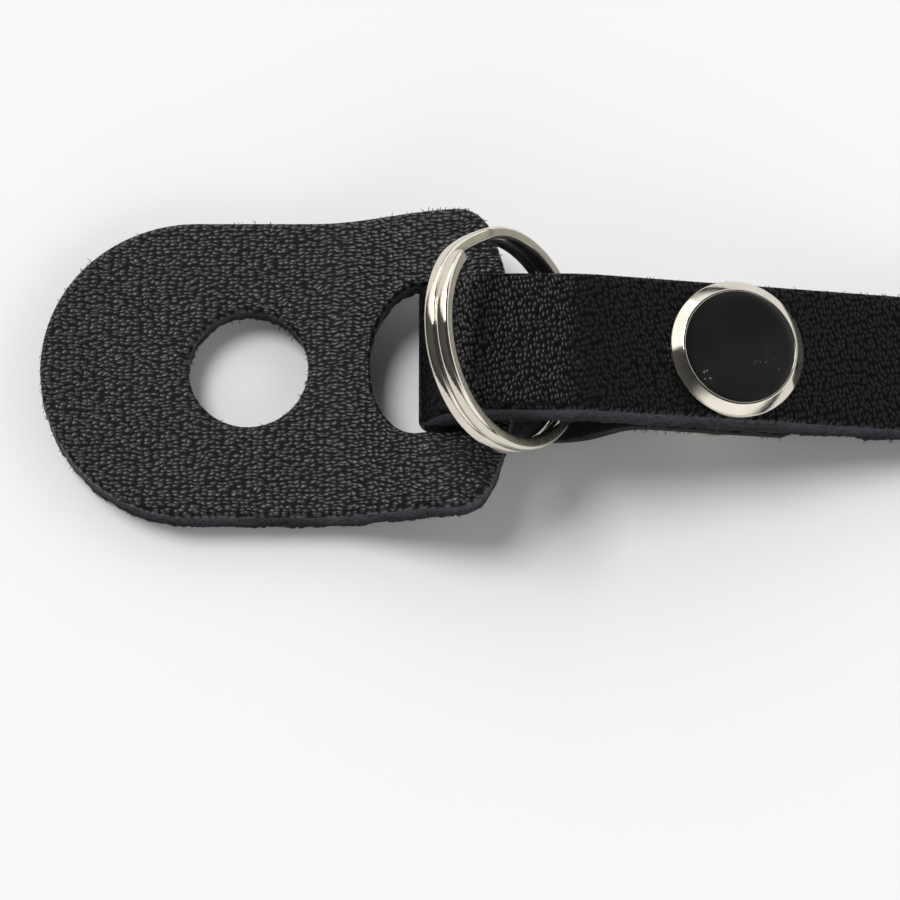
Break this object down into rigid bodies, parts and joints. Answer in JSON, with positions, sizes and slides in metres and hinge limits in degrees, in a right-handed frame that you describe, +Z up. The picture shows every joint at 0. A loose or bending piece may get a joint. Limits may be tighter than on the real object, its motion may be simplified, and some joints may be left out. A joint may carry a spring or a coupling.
{
  "type": "leather strap end with split ring and protector tab",
  "caption": "End of a narrow black leather strap: its folded tail holds a nickel split ring and a protector tab with a round hole, and a flat bevelled binding screw closes it",
  "frame": {"origin": "centre of the protector tab's round hole, in the tab's flat underside", "axes": "+X along the strap away from the tab, +Y across the strap, +Z up"},
  "size_m": [0.0801, 0.0222, 0.017],
  "materials": {
    "black_leather": "black full-grain cowhide, fine pebbled grain, raw blue-grey cut edges",
    "nickel_plate": "bright nickel plate on steel",
    "black_enamel": "gloss black enamel, filled flat"
  },
  "bodies": {
    "strap": {"strap": "black_leather", "screw_post": "nickel_plate", "back_screw": "nickel_plate", "enamel_face": "black_enamel"},
    "tab": {"lug_tab": "black_leather"},
    "ring": {"split_ring": "nickel_plate"}
  },
  "joints": [
    {"name": "ring_swing", "type": "hinge", "parent": "strap", "child": "ring", "pos_m": [0.0234, 0, 0.00438], "axis": [0, 1, 0], "range_deg": [-10, 100]},
    {"name": "tab_swing", "type": "hinge", "parent": "strap", "child": "tab", "pos_m": [0.0183, 0, 0.00515], "axis": [0, 1, 0], "range_deg": [-35, 35]}
  ]
}
